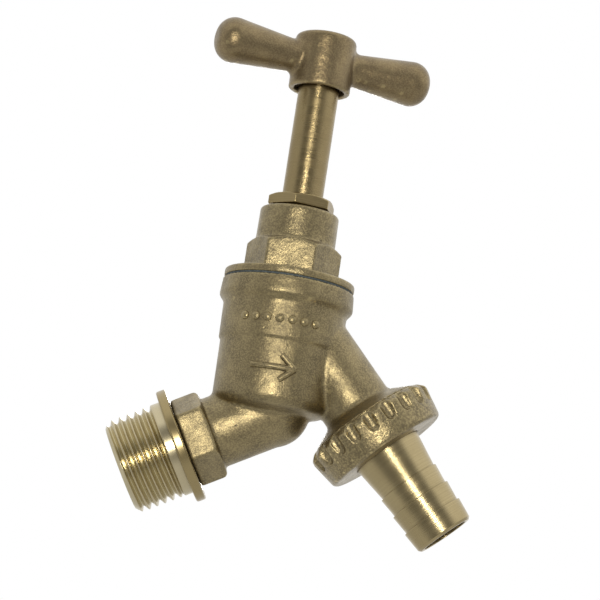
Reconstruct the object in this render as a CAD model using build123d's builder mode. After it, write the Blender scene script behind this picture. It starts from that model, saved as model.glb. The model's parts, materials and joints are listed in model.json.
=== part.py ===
"""Angled brass bib tap with a hose union, half inch size.

Frame, in millimetres: the origin is the centre of the inlet flange's seating face, the inlet
thread runs towards -X into the wall, +Z is up, and the tap is symmetric about the plane y = 0
apart from its handle, which stands part of a turn round.

Each turned or cast piece is drawn as (radius, level) points in one of three section planes:
    inlet_section    levels run along +X from the seating face
    spindle_section  levels run up the spindle from where it crosses the inlet axis
    outlet_section   levels run down the outlet from where it crosses the spindle axis
A third value on a point rounds that corner by so much.
"""

from build123d import *
from math import cos, radians, sin, tan
import os

os.makedirs("parts", exist_ok=True)

# ---------------------------------------------------------------- driving dimensions
# Layout of the three axes.
spindle_reach = 21.6  # seating face to the spindle axis, along the inlet
spindle_lean = 29.5  # degrees, the spindle leans forward from the vertical
outlet_lean = 13.0  # degrees, the outlet leans forward from straight down
outlet_height = 24.0  # up the spindle axis to where the outlet axis crosses it

# Clearances. Threads are drawn plain, at their full diameter.
thread_clearance = 0.05  # radial, between an outer and an inner thread
running_clearance = 0.06  # radial, where a shaft turns or slides in a bore

# Inlet: G 1/2 outside thread, flange and cast hexagon.
inlet_thread_dia = 20.955
inlet_thread_length = 12.85
inlet_thread_chamfer = 1.0
inlet_bore_dia = 12.0
inlet_bore_chamfer = 0.8
inlet_flange_dia = 25.4
inlet_flange_thickness = 2.1
inlet_flange_rounding = 0.4
inlet_tube_dia = 15.7
inlet_hex_flats = 17.4
inlet_hex_length = 6.3
inlet_hex_chamfer = 0.5
inlet_hex_rounding = 1.3
elbow_bulge = 0.25  # how far the cast elbow stands proud of the tube
elbow_shift = 0.8  # the elbow's centre, beyond the spindle axis

# Barrel, round the spindle axis.
barrel_dia = 25.8
barrel_draft = 0.15  # the barrel grows by this much of radius up to the step
barrel_bottom = 0.6
barrel_bottom_radius = 2.4
underside_slope = 18.0  # degrees
band_dia = 27.2
band_start = 14.2
collar_dia = 29.5
collar_height = 5.15
collar_rise = 1.3  # height of the sloped shoulder under the collar
mouth_dia = 28.9
mouth_level = 27.75
step_height = 0.35
collar_radius = 1.1

# Water way: chamber above the seat, passage below it.
chamber_dia = 20.0
chamber_floor = 9.5
seat_dia = 12.6
seat_height = 1.2
seat_bore = 9.5
seat_web = 2.8  # thickness of the floor that carries the seat
passage_dia = 11.5
core_dia = 13.0  # widening of the passage on the inlet side
core_offset = 3.0
core_start = 1.0
mouth_thread_dia = 20.9
mouth_thread_length = 6.6

# Outlet arm and its G 3/4 outside thread.
arm_dia = 15.66
arm_bore = 10.0
arm_bore_start = 8.0
outlet_thread_dia = 26.441
outlet_thread_length = 4.0
outlet_thread_chamfer = 0.5
outlet_end = 35.0
outlet_flare_length = 2.8
outlet_flare_dia = 22.6  # where the flare's steep part ends
outlet_flare_rise = 1.0
outlet_mouth_dia = 16.0
outlet_mouth_depth = 2.6
arm_fillet = 1.4
casting_fillet = 1.0

# Bonnet and what seals it.
body_washer_thickness = 0.4
body_washer_inset = 0.25  # the flange overhangs the washer by this much all round
bonnet_flange_dia = 28.7
bonnet_flange_thickness = 1.7
bonnet_flange_rounding = 0.4
bonnet_hex_flats = 18.3
bonnet_hex_height = 7.45
bonnet_hex_turn = -1.0  # degrees, where the thread stopped when it was tightened
bonnet_hex_chamfer = 31.0  # degrees
bonnet_neck_dia = 17.8
bonnet_neck_draft = 0.2
bonnet_neck_height = 7.4
bonnet_top_radius = 0.7
bonnet_skirt = 6.1  # threaded skirt below the barrel's mouth
bonnet_skirt_chamfer = 0.6
stuffing_dia = 12.5
stuffing_depth = 5.7
stem_web = 1.5  # wall between the stuffing box and the spindle's thread

# Gland nut and packing.
gland_nut_flats = 13.4
gland_nut_gap = 0.6  # left under the nut's hexagon for tightening
gland_nut_height = 2.4
gland_nut_turn = 22.0  # degrees
gland_nut_plug = 2.9
gland_nut_chamfer = 30.0  # degrees
packing_washer_thickness = 0.6
packing_clearance = 0.02

# Spindle, jumper and tap washer.
spindle_dia = 9.04
spindle_thread_dia = 11.2
spindle_lift = 6.0  # from shut to fully open, where the thread's top meets the bonnet
spindle_stop_gap = 0.3  # left between them when fully open
spindle_neck_dia = 8.0  # relief above the thread
spindle_neck = 1.4
spindle_chamfer = 0.6
jumper_dia = 16.4
jumper_thickness = 1.6
jumper_edge = 0.3
jumper_stem_dia = 6.0
jumper_stem_length = 10.0
jumper_stud_dia = 3.2
tap_washer_dia = 16.0
tap_washer_thickness = 3.2
jumper_nut_flats = 5.5
jumper_nut_height = 2.0
jumper_stud_end = 0.5

# Tee handle.
handle_boss_dia = 13.74
handle_standoff = 24.9  # bare spindle between the gland nut and the handle
handle_height = 12.8
handle_top_radius = 1.2
handle_dome = 0.3
handle_counterbore_dia = 11.3
handle_counterbore_depth = 2.0
handle_socket_depth = 8.5
handle_arm_height = 6.6  # the arms' axes, above the bottom of the boss
handle_arm_half = 25.3
handle_arm_root_dia = 5.8  # on the spindle axis, inside the boss
handle_arm_end_dia = 11.0
handle_arm_rise = 0.7  # degrees, the arms sweep up a little
handle_arm_rounding = 4.0
handle_arm_fillet = 1.2
handle_turn_at_rest = 22.0  # degrees
handle_screw_dia = 4.0
handle_screw_recess = 0.4
handle_screw_key = 2.0
handle_edge_radius = 0.35

# Hose union: washer, tail and nut.
union_washer_dia = 23.6
union_washer_bore = 15.0
union_washer_thickness = 1.4
tail_flange_dia = 23.8
tail_flange_thickness = 1.4
tail_shank_dia = 15.4
tail_bore = 10.6
tail_waist_dia = 13.3
tail_plain_length = 9.6
barb_dia = 14.1
barb_waist_dia = 13.2
barb_pitch = 4.45
barb_count = 3
tail_end_dia = 13.3
tail_end_land = 4.9
tail_end_chamfer = 0.5
union_nut_length = 8.2
union_nut_back_wall = 0.35  # walls outside the nut's thread, at its back, rim and front
union_nut_wall = 1.65
union_nut_front_wall = 0.5
union_nut_web = 1.5
union_nut_shoulder = 1.3  # length of the sloped back
union_nut_edge_radius = 1.0
union_nut_front_radius = 1.0
grip_count = 20
grip_width = 2.8
grip_depth = 1.2
grip_band = 3.3  # smooth band in front of the grips
grip_turn = 1.75  # degrees, where the nut's thread stopped when it was tightened

# ---------------------------------------------------------------- axes and section planes
lean = radians(spindle_lean)
outlet_angle = radians(outlet_lean)

spindle_dir = Vector(sin(lean), 0, cos(lean))
spindle_out = Vector(cos(lean), 0, -sin(lean))
spindle_foot = Vector(spindle_reach, 0, 0)
outlet_dir = Vector(sin(outlet_angle), 0, -cos(outlet_angle))
outlet_out = Vector(cos(outlet_angle), 0, sin(outlet_angle))
outlet_root = spindle_foot + spindle_dir * outlet_height

inlet_section = Plane(origin=(0, 0, 0), x_dir=(0, 0, 1), z_dir=(0, 1, 0))
spindle_section = Plane(origin=spindle_foot, x_dir=spindle_out, z_dir=(0, -1, 0))
outlet_section = Plane(origin=outlet_root, x_dir=outlet_out, z_dir=(0, 1, 0))


def turn(section, points, mode=Mode.ADD):
    """Revolve a closed outline of (radius, level) or (radius, level, corner radius) points."""
    with BuildSketch(section) as outline:
        with BuildLine():
            Polyline(*[point[:2] for point in points], close=True)
        make_face()
        for radius, level, *rounding in points:
            if rounding:
                corner = outline.vertices().sort_by_distance((radius, level))[0]
                fillet(corner, rounding[0])
    revolve(outline.sketch, axis=Axis(section.origin, section.y_dir), mode=mode)


def ring(section, inner, outer, start, end, mode=Mode.ADD):
    """Revolve a plain ring or, with inner at 0, a plain disc or rod."""
    turn(section, [(inner, start), (outer, start), (outer, end), (inner, end)], mode=mode)


def across(section, level):
    """The plane square to a section's axis at a level, facing along it."""
    return Plane(
        origin=section.origin + section.y_dir * level,
        x_dir=section.x_dir,
        z_dir=section.y_dir,
    )


def save(piece, name):
    """Label a finished piece and write it as its own STEP file."""
    piece.part.label = name
    export_step(piece.part, f"parts/{name}.step")


# ---------------------------------------------------------------- tap body
inlet_thread_r = inlet_thread_dia / 2
inlet_bore_r = inlet_bore_dia / 2
inlet_tube_r = inlet_tube_dia / 2
inlet_hex_corner = inlet_hex_flats / 2 / cos(radians(30))
inlet_hex_end = inlet_flange_thickness + inlet_hex_length
barrel_r = barrel_dia / 2
band_r = band_dia / 2
underside_drop = barrel_r * tan(radians(underside_slope))
collar_start = mouth_level - collar_height
seat_top = chamber_floor + seat_height
arm_r = arm_dia / 2
outlet_thread_r = outlet_thread_dia / 2
outlet_thread_start = outlet_end - outlet_thread_length
outlet_flare_start = outlet_thread_start - outlet_flare_length
outlet_flare_r = outlet_flare_dia / 2
mouth_thread_r = mouth_thread_dia / 2
elbow_centre = spindle_foot + Vector(elbow_shift, 0, 0)

with BuildPart() as tap_body:
    # Cast hexagon on the inlet, corners up and down, its far corners rounded off.
    with BuildSketch(across(inlet_section, inlet_flange_thickness)):
        RegularPolygon(inlet_hex_flats / 2, 6, major_radius=False)
    extrude(amount=inlet_hex_length)
    turn(
        inlet_section,
        [
            (0, inlet_flange_thickness),
            (inlet_hex_corner - inlet_hex_chamfer, inlet_flange_thickness),
            (inlet_hex_corner, inlet_flange_thickness + inlet_hex_chamfer),
            (inlet_hex_corner, inlet_hex_end, inlet_hex_rounding),
            (0, inlet_hex_end),
        ],
        mode=Mode.INTERSECT,
    )
    # Inlet thread, flange, tube and elbow.
    turn(
        inlet_section,
        [
            (0, -inlet_thread_length),
            (inlet_thread_r - inlet_thread_chamfer, -inlet_thread_length),
            (inlet_thread_r, inlet_thread_chamfer - inlet_thread_length),
            (inlet_thread_r, 0),
            (inlet_flange_dia / 2, 0, inlet_flange_rounding),
            (inlet_flange_dia / 2, inlet_flange_thickness, inlet_flange_rounding),
            (inlet_tube_r, inlet_flange_thickness),
            (inlet_tube_r, spindle_reach),
            (0, spindle_reach),
        ],
    )
    with Locations(elbow_centre):
        Sphere(inlet_tube_r + elbow_bulge)
    # Barrel: sloped underside, step, upper band and rounded collar.
    turn(
        spindle_section,
        [
            (0, barrel_bottom - underside_drop),
            (barrel_r, barrel_bottom, barrel_bottom_radius),
            (barrel_r + barrel_draft, band_start),
            (band_r - barrel_draft, band_start + step_height),
            (band_r, collar_start, collar_radius),
            (collar_dia / 2, collar_start + collar_rise, collar_radius),
            (mouth_dia / 2, mouth_level),
            (0, mouth_level),
        ],
    )
    # Outlet arm, its flare and the union thread.
    turn(
        outlet_section,
        [
            (0, arm_bore_start),
            (arm_r, arm_bore_start),
            (arm_r, outlet_flare_start, arm_fillet),
            (outlet_flare_r, outlet_thread_start - outlet_flare_rise),
            (outlet_thread_r, outlet_thread_start),
            (outlet_thread_r, outlet_end - outlet_thread_chamfer),
            (outlet_thread_r - outlet_thread_chamfer, outlet_end),
            (0, outlet_end),
        ],
    )
    # The casting's fillets where the elbow, tube and arm grow out of the barrel.
    meetings = tap_body.edges().filter_by(lambda edge: edge.geom_type == GeomType.BSPLINE)
    fillet(meetings.filter_by_position(Axis.X, inlet_hex_end, outlet_end), casting_fillet)
    # Chamber above the seat, with the thread for the bonnet at its mouth.
    ring(spindle_section, 0, chamber_dia / 2, chamber_floor, mouth_level, Mode.SUBTRACT)
    ring(
        spindle_section,
        0,
        mouth_thread_r,
        mouth_level - mouth_thread_length,
        mouth_level,
        Mode.SUBTRACT,
    )
    # Water way down the outlet arm, wider at the end face.
    ring(outlet_section, 0, arm_bore / 2, arm_bore_start, outlet_end, Mode.SUBTRACT)
    turn(
        outlet_section,
        [
            (0, outlet_end),
            (outlet_mouth_dia / 2, outlet_end),
            (outlet_mouth_dia / 2, outlet_end - outlet_mouth_depth),
            (0, outlet_end - outlet_mouth_depth - outlet_mouth_dia / 2),
        ],
        mode=Mode.SUBTRACT,
    )
    # Raised seat, put back whole where the outlet's water way grazes it.
    ring(spindle_section, 0, seat_dia / 2, chamber_floor - seat_web, seat_top)
    # Water way from the inlet, round the elbow and up through the seat.
    turn(
        inlet_section,
        [
            (0, -inlet_thread_length),
            (inlet_bore_r + inlet_bore_chamfer, -inlet_thread_length),
            (inlet_bore_r, inlet_bore_chamfer - inlet_thread_length),
            (inlet_bore_r, spindle_reach),
            (0, spindle_reach),
        ],
        mode=Mode.SUBTRACT,
    )
    with Locations(spindle_foot):
        Sphere(inlet_bore_r, mode=Mode.SUBTRACT)
    ring(spindle_section, 0, passage_dia / 2, 0, chamber_floor - seat_web, Mode.SUBTRACT)
    ring(spindle_section, 0, seat_bore / 2, 0, seat_top, Mode.SUBTRACT)
    with BuildSketch(across(spindle_section, core_start)):
        with Locations((-core_offset, 0)):
            Circle(core_dia / 2)
    extrude(amount=chamber_floor - seat_web - core_start, mode=Mode.SUBTRACT)
save(tap_body, "tap_body")

# ---------------------------------------------------------------- bonnet and its washer
body_washer_dia = bonnet_flange_dia - 2 * body_washer_inset
flange_bottom = mouth_level + body_washer_thickness
flange_top = flange_bottom + bonnet_flange_thickness
hex_top = flange_top + bonnet_hex_height
hex_corner = bonnet_hex_flats / 2 / cos(radians(30))
skirt_r = mouth_thread_r - thread_clearance
skirt_bottom = mouth_level - bonnet_skirt
stem_r = spindle_dia / 2
screw_r = spindle_thread_dia / 2
bonnet_top = hex_top + bonnet_neck_height
stuffing_floor = bonnet_top - stuffing_depth
screw_ceiling = stuffing_floor - stem_web
neck_r = bonnet_neck_dia / 2

with BuildPart() as body_washer:
    ring(
        spindle_section,
        mouth_thread_r,
        body_washer_dia / 2,
        mouth_level,
        flange_bottom,
    )
save(body_washer, "body_washer")

with BuildPart() as bonnet:
    # Hexagon with its upper corners chamfered off.
    with BuildSketch(across(spindle_section, flange_top)):
        RegularPolygon(bonnet_hex_flats / 2, 6, major_radius=False, rotation=bonnet_hex_turn)
    extrude(amount=bonnet_hex_height)
    corner_drop = (hex_corner - neck_r) * tan(radians(bonnet_hex_chamfer))
    turn(
        spindle_section,
        [
            (0, flange_top),
            (hex_corner, flange_top),
            (hex_corner, hex_top - corner_drop),
            (neck_r, hex_top),
            (0, hex_top),
        ],
        mode=Mode.INTERSECT,
    )
    # Threaded skirt, flange and neck.
    turn(
        spindle_section,
        [
            (0, skirt_bottom),
            (skirt_r - bonnet_skirt_chamfer, skirt_bottom),
            (skirt_r, skirt_bottom + bonnet_skirt_chamfer),
            (skirt_r, flange_bottom),
            (bonnet_flange_dia / 2, flange_bottom),
            (bonnet_flange_dia / 2, flange_top, bonnet_flange_rounding),
            (neck_r, flange_top),
            (neck_r - bonnet_neck_draft, bonnet_top, bonnet_top_radius),
            (0, bonnet_top),
        ],
    )
    # Spindle thread, stem hole and stuffing box.
    ring(
        spindle_section,
        0,
        screw_r + running_clearance,
        skirt_bottom,
        screw_ceiling,
        Mode.SUBTRACT,
    )
    ring(spindle_section, 0, stem_r + running_clearance, skirt_bottom, bonnet_top, Mode.SUBTRACT)
    ring(spindle_section, 0, stuffing_dia / 2, stuffing_floor, bonnet_top, Mode.SUBTRACT)
save(bonnet, "bonnet")

# ---------------------------------------------------------------- packing and gland nut
stuffing_r = stuffing_dia / 2
plug_bottom = bonnet_top - gland_nut_plug
packing_bottom = stuffing_floor + packing_washer_thickness
packing_height = (plug_bottom - packing_bottom) / 2
gland_bottom = bonnet_top + gland_nut_gap
gland_top = gland_bottom + gland_nut_height
gland_corner = gland_nut_flats / 2 / cos(radians(30))

with BuildPart() as packing_washer:
    ring(
        spindle_section,
        stem_r + running_clearance,
        stuffing_r - thread_clearance,
        stuffing_floor,
        packing_bottom,
    )
save(packing_washer, "packing_washer")

for packing_name, packing_start in (
    ("lower_packing", packing_bottom),
    ("upper_packing", packing_bottom + packing_height),
):
    with BuildPart() as packing:
        ring(
            spindle_section,
            stem_r + packing_clearance,
            stuffing_r - packing_clearance,
            packing_start,
            packing_start + packing_height,
        )
    save(packing, packing_name)

with BuildPart() as gland_nut:
    with BuildSketch(across(spindle_section, gland_bottom)):
        RegularPolygon(gland_nut_flats / 2, 6, major_radius=False, rotation=gland_nut_turn)
    extrude(amount=gland_nut_height)
    gland_drop = (gland_corner - gland_nut_flats / 2) * tan(radians(gland_nut_chamfer))
    turn(
        spindle_section,
        [
            (0, gland_bottom),
            (gland_corner, gland_bottom),
            (gland_corner, gland_top - gland_drop),
            (gland_nut_flats / 2, gland_top),
            (0, gland_top),
        ],
        mode=Mode.INTERSECT,
    )
    ring(spindle_section, 0, stuffing_r - thread_clearance, plug_bottom, gland_bottom)
    ring(spindle_section, 0, stem_r + running_clearance, plug_bottom, gland_top, Mode.SUBTRACT)
save(gland_nut, "gland_nut")

# ---------------------------------------------------------------- tap washer and jumper
washer_top = seat_top + tap_washer_thickness
jumper_top = washer_top + jumper_thickness
stud_r = jumper_stud_dia / 2
jumper_nut_bottom = seat_top - jumper_nut_height
jumper_stem_r = jumper_stem_dia / 2

with BuildPart() as jumper:
    # Plate over the washer, stem up into the spindle and stud down through the washer.
    turn(
        spindle_section,
        [
            (0, jumper_nut_bottom - jumper_stud_end),
            (stud_r, jumper_nut_bottom - jumper_stud_end),
            (stud_r, washer_top),
            (jumper_dia / 2, washer_top),
            (jumper_dia / 2, jumper_top - jumper_edge),
            (jumper_dia / 2 - jumper_edge, jumper_top),
            (jumper_stem_r, jumper_top),
            (jumper_stem_r, jumper_top + jumper_stem_length - jumper_edge),
            (jumper_stem_r - jumper_edge, jumper_top + jumper_stem_length),
            (0, jumper_top + jumper_stem_length),
        ],
    )
save(jumper, "jumper")

with BuildPart() as tap_washer:
    ring(
        spindle_section,
        stud_r + running_clearance,
        tap_washer_dia / 2,
        seat_top,
        washer_top,
    )
save(tap_washer, "tap_washer")

with BuildPart() as jumper_nut:
    with BuildSketch(across(spindle_section, jumper_nut_bottom)):
        RegularPolygon(jumper_nut_flats / 2, 6, major_radius=False)
        Circle(stud_r + thread_clearance, mode=Mode.SUBTRACT)
    extrude(amount=jumper_nut_height)
save(jumper_nut, "jumper_nut")

# ---------------------------------------------------------------- spindle
handle_bottom = gland_top + handle_standoff
socket_top = handle_bottom + handle_counterbore_depth + handle_socket_depth
spindle_top = socket_top - running_clearance
socket_r = jumper_stem_r + running_clearance
socket_floor = jumper_top + jumper_stem_length + jumper_edge
spindle_thread_top = screw_ceiling - spindle_lift - spindle_stop_gap
screw_relief_r = spindle_neck_dia / 2

with BuildPart() as spindle:
    turn(
        spindle_section,
        [
            (0, jumper_top),
            (screw_r - spindle_chamfer, jumper_top),
            (screw_r, jumper_top + spindle_chamfer),
            (screw_r, spindle_thread_top - spindle_chamfer),
            (screw_r - spindle_chamfer, spindle_thread_top),
            (screw_relief_r, spindle_thread_top),
            (screw_relief_r, spindle_thread_top + spindle_neck),
            (stem_r, spindle_thread_top + spindle_neck),
            (stem_r, spindle_top - spindle_chamfer),
            (stem_r - spindle_chamfer, spindle_top),
            (0, spindle_top),
        ],
    )
    # Socket for the jumper's stem.
    ring(spindle_section, 0, socket_r, jumper_top, socket_floor, Mode.SUBTRACT)
save(spindle, "spindle")

# ---------------------------------------------------------------- tee handle and its screw
boss_r = handle_boss_dia / 2
handle_top = handle_bottom + handle_height
arm_root_r = handle_arm_root_dia / 2
arm_end_r = handle_arm_end_dia / 2
handle_centre = spindle_foot + spindle_dir * (handle_bottom + handle_arm_height)
arm_turn = radians(handle_turn_at_rest)
arm_rise = radians(handle_arm_rise)
arm_flat = spindle_out * cos(arm_turn) + Vector(0, 1, 0) * sin(arm_turn)
screw_dir = arm_flat.cross(spindle_dir) * -1
screw_level = handle_bottom + handle_counterbore_depth + handle_screw_dia


def arm_section(side):
    """Section plane of one arm: levels run out along the arm from the spindle axis."""
    out = arm_flat * (side * cos(arm_rise)) + spindle_dir * sin(arm_rise)
    square = spindle_dir * cos(arm_rise) - arm_flat * (side * sin(arm_rise))
    return Plane(origin=handle_centre, x_dir=square, z_dir=square.cross(out))


def screw_plane(distance):
    """Plane square to the handle's screw, at a distance from the spindle axis."""
    return Plane(
        origin=spindle_foot + spindle_dir * screw_level + screw_dir * distance,
        x_dir=spindle_dir,
        z_dir=screw_dir,
    )


with BuildPart() as tee_handle:
    turn(
        spindle_section,
        [
            (0, handle_bottom),
            (boss_r, handle_bottom, handle_edge_radius),
            (boss_r, handle_top - handle_dome, handle_top_radius),
            (0, handle_top),
        ],
    )
    for side in (-1, 1):
        turn(
            arm_section(side),
            [
                (0, 0),
                (arm_root_r, 0),
                (arm_end_r, handle_arm_half, handle_arm_rounding),
                (0, handle_arm_half),
            ],
        )
    # The casting's fillets where the arms grow out of the boss.
    junctions = tee_handle.edges().filter_by(lambda edge: edge.geom_type == GeomType.BSPLINE)
    fillet(junctions, handle_arm_fillet)
    # Mouth and socket for the spindle, and the screw's hole in the back.
    ring(
        spindle_section,
        0,
        handle_counterbore_dia / 2,
        handle_bottom,
        handle_bottom + handle_counterbore_depth,
        Mode.SUBTRACT,
    )
    ring(
        spindle_section,
        0,
        stem_r + thread_clearance,
        handle_bottom,
        socket_top,
        Mode.SUBTRACT,
    )
    with BuildSketch(screw_plane(0)):
        Circle(handle_screw_dia / 2 + thread_clearance)
    extrude(amount=boss_r, mode=Mode.SUBTRACT)
save(tee_handle, "tee_handle")

with BuildPart() as handle_screw:
    screw_length = boss_r - handle_screw_recess - stem_r
    with BuildSketch(screw_plane(stem_r)):
        Circle(handle_screw_dia / 2)
    extrude(amount=screw_length)
    with BuildSketch(screw_plane(stem_r + screw_length)):
        RegularPolygon(handle_screw_key / 2, 6, major_radius=False)
    extrude(amount=-screw_length / 2, mode=Mode.SUBTRACT)
save(handle_screw, "handle_screw")

# ---------------------------------------------------------------- hose union
union_washer_front = outlet_end + union_washer_thickness
tail_flange_front = union_washer_front + tail_flange_thickness
nut_front = tail_flange_front + union_nut_web
nut_bore_r = outlet_thread_r + thread_clearance
first_barb = nut_front + tail_plain_length - union_nut_web
tail_end = first_barb + (barb_count - 1) * barb_pitch + tail_end_land
shank_r = tail_shank_dia / 2
barb_r = barb_dia / 2
tail_end_r = tail_end_dia / 2

with BuildPart() as union_washer:
    ring(
        outlet_section,
        union_washer_bore / 2,
        union_washer_dia / 2,
        outlet_end,
        union_washer_front,
    )
save(union_washer, "union_washer")

with BuildPart() as hose_tail:
    tail_points = [
        (0, union_washer_front),
        (tail_flange_dia / 2, union_washer_front),
        (tail_flange_dia / 2, tail_flange_front),
        (shank_r, tail_flange_front),
        (shank_r, nut_front),
        (tail_waist_dia / 2, first_barb),
    ]
    for number in range(barb_count - 1):
        barb_level = first_barb + number * barb_pitch
        tail_points.append((barb_r, barb_level))
        tail_points.append((barb_waist_dia / 2, barb_level + barb_pitch))
    last_barb = first_barb + (barb_count - 1) * barb_pitch
    tail_points += [
        (barb_r, last_barb),
        (tail_end_r, tail_end - tail_end_chamfer),
        (tail_end_r - tail_end_chamfer, tail_end),
        (0, tail_end),
    ]
    turn(outlet_section, tail_points)
    ring(outlet_section, 0, tail_bore / 2, union_washer_front, tail_end, Mode.SUBTRACT)
save(hose_tail, "hose_tail")

union_nut_back = nut_front - union_nut_length
nut_shoulder = union_nut_back + union_nut_shoulder
nut_rim_r = nut_bore_r + union_nut_wall
grip_r = (grip_width**2 / 4 + grip_depth**2) / (2 * grip_depth)
grip_end = nut_front - grip_band - grip_width / 2
grip_centre_r = nut_rim_r - grip_depth + grip_r

with BuildPart() as union_nut:
    turn(
        outlet_section,
        [
            (nut_bore_r, union_nut_back),
            (nut_bore_r + union_nut_back_wall, union_nut_back),
            (nut_rim_r, nut_shoulder, union_nut_edge_radius),
            (nut_bore_r + union_nut_front_wall, nut_front, union_nut_front_radius),
            (shank_r + running_clearance, nut_front),
            (shank_r + running_clearance, tail_flange_front),
            (nut_bore_r, tail_flange_front),
        ],
    )
    # Finger grips: scooped grooves round the rim, open towards the back, with round ends.
    with BuildSketch(across(outlet_section, union_nut_back)):
        with PolarLocations(grip_centre_r, grip_count, start_angle=grip_turn):
            Circle(grip_r)
    extrude(amount=grip_end - union_nut_back, mode=Mode.SUBTRACT)
    with Locations(across(outlet_section, grip_end)):
        with PolarLocations(grip_centre_r, grip_count, start_angle=grip_turn):
            Sphere(grip_r, mode=Mode.SUBTRACT)
save(union_nut, "union_nut")
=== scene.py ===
# Looks of the angled brass bib tap: castings, turned parts, threads, floor, light and camera.
import bmesh
import bpy
import json
import math
from mathutils import Matrix, Vector


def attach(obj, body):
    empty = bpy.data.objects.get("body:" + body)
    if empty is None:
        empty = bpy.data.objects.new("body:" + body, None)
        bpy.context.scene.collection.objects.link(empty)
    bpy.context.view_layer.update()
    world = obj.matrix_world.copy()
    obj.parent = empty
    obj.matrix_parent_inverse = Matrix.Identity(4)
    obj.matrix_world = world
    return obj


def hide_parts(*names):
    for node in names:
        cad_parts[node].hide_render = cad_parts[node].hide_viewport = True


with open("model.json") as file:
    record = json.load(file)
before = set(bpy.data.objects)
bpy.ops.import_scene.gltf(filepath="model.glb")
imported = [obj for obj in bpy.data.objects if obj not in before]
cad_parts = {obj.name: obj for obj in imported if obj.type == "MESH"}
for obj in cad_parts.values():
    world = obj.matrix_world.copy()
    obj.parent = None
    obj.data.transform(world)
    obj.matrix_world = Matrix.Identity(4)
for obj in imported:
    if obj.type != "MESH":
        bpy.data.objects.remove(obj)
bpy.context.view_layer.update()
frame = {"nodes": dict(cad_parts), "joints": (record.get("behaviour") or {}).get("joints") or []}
print("frame loaded:", len(frame["nodes"]), "nodes")

mm = 0.001
mergeReach = 0.002  # points nearer than this, in mm, become one

# the tap's three axes: the inlet lies along X, the other two are read from the joints
joints = {joint["name"]: joint for joint in frame["joints"]}
inletAxis = Vector((1, 0, 0))
spindleAxis = Vector(joints["handle_turn"]["axis"]).normalized()
spindleFoot = Vector(joints["handle_turn"]["pos_m"])
outletAxis = Vector(joints["union_nut_turn"]["axis"]).normalized()
outletEnd = Vector(joints["union_nut_turn"]["pos_m"])
outletEndLevel = 35.0  # how far down the outlet that point lies
outletRoot = outletEnd - outletAxis * outletEndLevel * mm
axisFoot = {
    inletAxis.to_tuple(3): Vector(),
    spindleAxis.to_tuple(3): spindleFoot,
    outletAxis.to_tuple(3): outletRoot,
}
towardsCamera = Vector((0, -1, 0))


def fromColumns(columns):
    return Matrix([[column[row] for column in columns] for row in range(3)]).to_4x4()


def placeAlong(axis, origin, level=0.0):
    # stands local Z on an axis in the tap's plane, with local Y towards the camera; the mesh is in mm
    across = towardsCamera.cross(axis).normalized()
    start = origin + axis * level * mm
    return Matrix.Translation(start) @ fromColumns((across, towardsCamera, axis)) @ Matrix.Scale(mm, 4)


# meshes
def newPiece(name, mesh):
    piece = bpy.data.objects.new(name, mesh)
    bpy.context.scene.collection.objects.link(piece)
    return piece


def reportPiece(label, piece):
    facets = sum(len(face.vertices) - 2 for face in piece.data.polygons)
    print(label + ":", facets, "triangles")


def settle(piece):
    # the modifiers' result becomes the piece's plain mesh
    graph = bpy.context.evaluated_depsgraph_get()
    mesh = bpy.data.meshes.new_from_object(piece.evaluated_get(graph))
    piece.modifiers.clear()
    piece.data = mesh
    mesh.name = piece.name
    return piece


def cadCopy(nodeName, name):
    # a CAD node's loose triangles, merged into one closed mesh
    shape = bmesh.new()
    shape.from_mesh(frame["nodes"][nodeName].data)
    bmesh.ops.remove_doubles(shape, verts=shape.verts, dist=mergeReach * mm)
    bmesh.ops.recalc_face_normals(shape, faces=shape.faces)
    mesh = bpy.data.meshes.new(name)
    shape.to_mesh(mesh)
    shape.free()
    mesh.materials.clear()
    return newPiece(name, mesh)


def cutOff(piece, point, direction):
    # takes away what lies beyond a plane across a hollow stem, and closes the ring that is left
    shape = bmesh.new()
    shape.from_mesh(piece.data)
    everything = shape.verts[:] + shape.edges[:] + shape.faces[:]
    bmesh.ops.bisect_plane(shape, geom=everything, plane_co=point, plane_no=direction, clear_outer=True)
    rims = [edge for edge in shape.edges if edge.is_boundary]
    bmesh.ops.bridge_loops(shape, edges=rims)
    bmesh.ops.recalc_face_normals(shape, faces=shape.faces)
    shape.to_mesh(piece.data)
    shape.free()


def soften(piece, grid, rounds):
    # an even skin with every edge and corner eased, as a casting has
    skin = piece.modifiers.new("skin", "REMESH")
    skin.mode = "VOXEL"
    skin.voxel_size = grid * mm
    skin.use_smooth_shade = True
    ease = piece.modifiers.new("ease", "SMOOTH")
    ease.factor = 0.5
    ease.iterations = rounds
    return settle(piece)


def roundedProfile(points, closed):
    # (radius, level) or (radius, level, rounding) points become a line with eased corners
    flatRun = 0.02  # short run beside an eased corner that keeps the flats' shading flat
    arcSteps = 4
    line = []
    count = len(points)
    for corner, (radius, level, *rounding) in enumerate(points):
        here = Vector((radius, level))
        atEnd = not closed and corner in (0, count - 1)
        if not rounding or atEnd:
            line.append(here)
            continue
        before = (Vector(points[corner - 1][:2]) - here).normalized()
        after = (Vector(points[(corner + 1) % count][:2]) - here).normalized()
        opening = before.angle(after)
        reach = rounding[0] / math.tan(opening / 2)
        centre = here + (before + after).normalized() * rounding[0] / math.sin(opening / 2)
        first, last = here + before * reach, here + after * reach
        line.append(first + before * flatRun)
        for step in range(arcSteps + 1):
            mixed = (first - centre).lerp(last - centre, step / arcSteps).normalized()
            line.append(centre + mixed * rounding[0])
        line.append(last + after * flatRun)
    return line


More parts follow.
